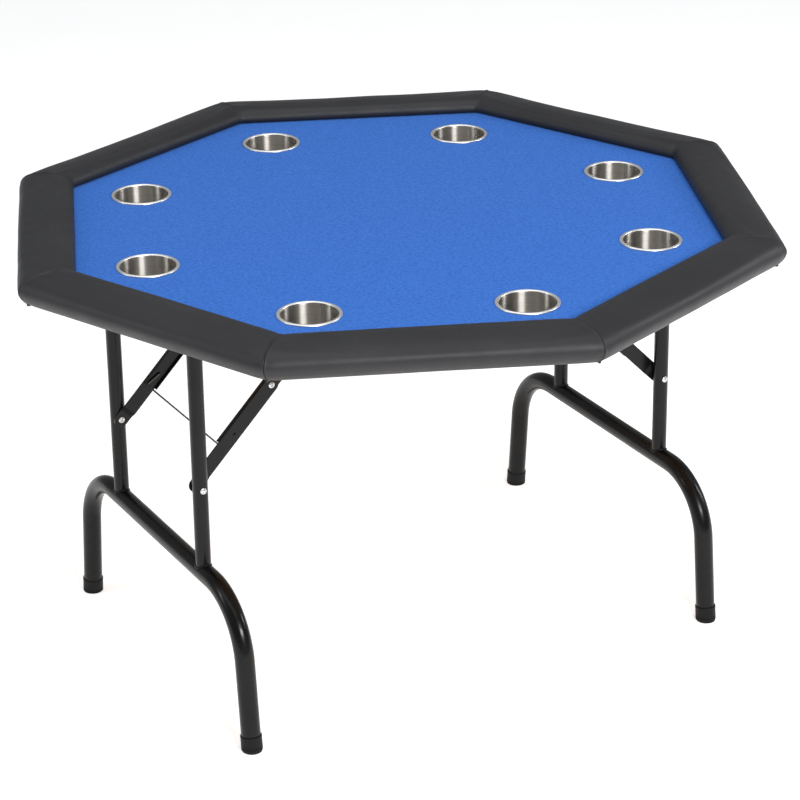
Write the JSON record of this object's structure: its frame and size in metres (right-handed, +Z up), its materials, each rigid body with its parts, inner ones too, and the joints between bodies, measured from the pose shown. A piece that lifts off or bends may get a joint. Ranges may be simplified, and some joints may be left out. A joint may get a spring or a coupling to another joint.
{
  "type": "poker table",
  "caption": "Folding octagonal poker table with a felt top, padded rail, recessed steel cup holders and two wishbone leg frames.",
  "frame": {"origin": "on the floor, under the middle of the table top", "axes": "+Z up; Y along the hinge axes of both leg frames; X from the left leg frame to the right one; a corner of the octagon points along each of X and Y"},
  "size_m": [1.312, 1.312, 0.748],
  "materials": {
    "wood": "raw particle board, sealed",
    "foam": "thin closed-cell foam sheet",
    "felt": "short napped royal blue table cloth",
    "vinyl": "black upholstery vinyl, soft grain, satin",
    "cup_steel": "stainless sheet, brushed inside, bright rolled rim",
    "bracket_paint": "black powder coat",
    "leg_paint": "gloss black powder coat",
    "link_paint": "satin black powder coat",
    "cap_plastic": "moulded black plastic foot cap",
    "zinc": "bright zinc plate",
    "dark_screw": "black phosphate",
    "wire": "bright drawn spring wire"
  },
  "bodies": {
    "top": {"board": "wood", "underlay": "foam", "felt": "felt", "rail_strips": "wood", "rail_pad_1": "vinyl", "rail_pad_2": "vinyl", "rail_pad_3": "vinyl", "rail_pad_4": "vinyl", "rail_pad_5": "vinyl", "rail_pad_6": "vinyl", "rail_pad_7": "vinyl", "rail_pad_8": "vinyl", "cup_1": "cup_steel", "cup_2": "cup_steel", "cup_3": "cup_steel", "cup_4": "cup_steel", "cup_5": "cup_steel", "cup_6": "cup_steel", "cup_7": "cup_steel", "cup_8": "cup_steel", "leg_bracket_left_front": "bracket_paint", "leg_bracket_left_back": "bracket_paint", "leg_bracket_right_front": "bracket_paint", "leg_bracket_right_back": "bracket_paint", "brace_bracket_left_front": "bracket_paint", "brace_bracket_left_back": "bracket_paint", "brace_bracket_right_front": "bracket_paint", "brace_bracket_right_back": "bracket_paint", "bracket_screws": "zinc", "rail_screws": "dark_screw", "leg_pivot_pins": "zinc", "brace_top_rivets": "zinc"},
    "leg_frame_left": {"bow_left": "leg_paint", "leg_welds_left": "leg_paint", "brace_foot_rivets_left": "zinc", "upright_left_front": "leg_paint", "upright_left_back": "leg_paint", "foot_cap_left_front": "cap_plastic", "foot_cap_left_back": "cap_plastic"},
    "lower_links_left": {"lower_link_left_front": "link_paint", "lower_link_left_back": "link_paint", "knee_rivets_left": "zinc"},
    "upper_links_left": {"upper_link_left_front": "link_paint", "upper_link_left_back": "link_paint", "knee_rivet_tails_left": "zinc"},
    "lock_bail_left": {"lock_wire_left": "wire"},
    "leg_frame_right": {"bow_right": "leg_paint", "leg_welds_right": "leg_paint", "brace_foot_rivets_right": "zinc", "upright_right_front": "leg_paint", "upright_right_back": "leg_paint", "foot_cap_right_front": "cap_plastic", "foot_cap_right_back": "cap_plastic"},
    "lower_links_right": {"lower_link_right_front": "link_paint", "lower_link_right_back": "link_paint", "knee_rivets_right": "zinc"},
    "upper_links_right": {"upper_link_right_front": "link_paint", "upper_link_right_back": "link_paint", "knee_rivet_tails_right": "zinc"},
    "lock_bail_right": {"lock_wire_right": "wire"}
  },
  "joints": [
    {"name": "leg_fold_left", "type": "hinge", "parent": "top", "child": "leg_frame_left", "pos_m": [-0.437, 0, 0.68], "axis": [0, -1, 0], "range_deg": [0, 88]},
    {"name": "lower_link_swing_left", "type": "hinge", "parent": "leg_frame_left", "child": "lower_links_left", "pos_m": [-0.437, 0, 0.398], "axis": [0, -1, 0], "range_deg": [0, 60.42]},
    {"name": "upper_link_swing_left", "type": "hinge", "parent": "top", "child": "upper_links_left", "pos_m": [-0.1585, 0, 0.682], "axis": [0, -1, 0], "range_deg": [-28.14, 0]},
    {"name": "lock_bail_left", "type": "hinge", "parent": "upper_links_left", "child": "lock_bail_left", "pos_m": [-0.36637, 0, 0.47003], "axis": [0, -1, 0], "range_deg": [0, 28]},
    {"name": "leg_fold_right", "type": "hinge", "parent": "top", "child": "leg_frame_right", "pos_m": [0.437, 0, 0.68], "axis": [0, 1, 0], "range_deg": [0, 83]},
    {"name": "lower_link_swing_right", "type": "hinge", "parent": "leg_frame_right", "child": "lower_links_right", "pos_m": [0.437, 0, 0.398], "axis": [0, 1, 0], "range_deg": [0, 48.44]},
    {"name": "upper_link_swing_right", "type": "hinge", "parent": "top", "child": "upper_links_right", "pos_m": [0.1585, 0, 0.682], "axis": [0, 1, 0], "range_deg": [-38.16, 0]},
    {"name": "lock_bail_right", "type": "hinge", "parent": "upper_links_right", "child": "lock_bail_right", "pos_m": [0.36637, 0, 0.47003], "axis": [0, 1, 0], "range_deg": [0, 28]}
  ],
  "couplings": [
    {"joint": "lower_link_swing_left", "follows": "leg_fold_left", "ratio": 0.68598},
    {"joint": "upper_link_swing_left", "follows": "leg_fold_left", "ratio": -0.3192},
    {"joint": "lower_link_swing_right", "follows": "leg_fold_right", "ratio": 0.58303},
    {"joint": "upper_link_swing_right", "follows": "leg_fold_right", "ratio": -0.45915}
  ]
}
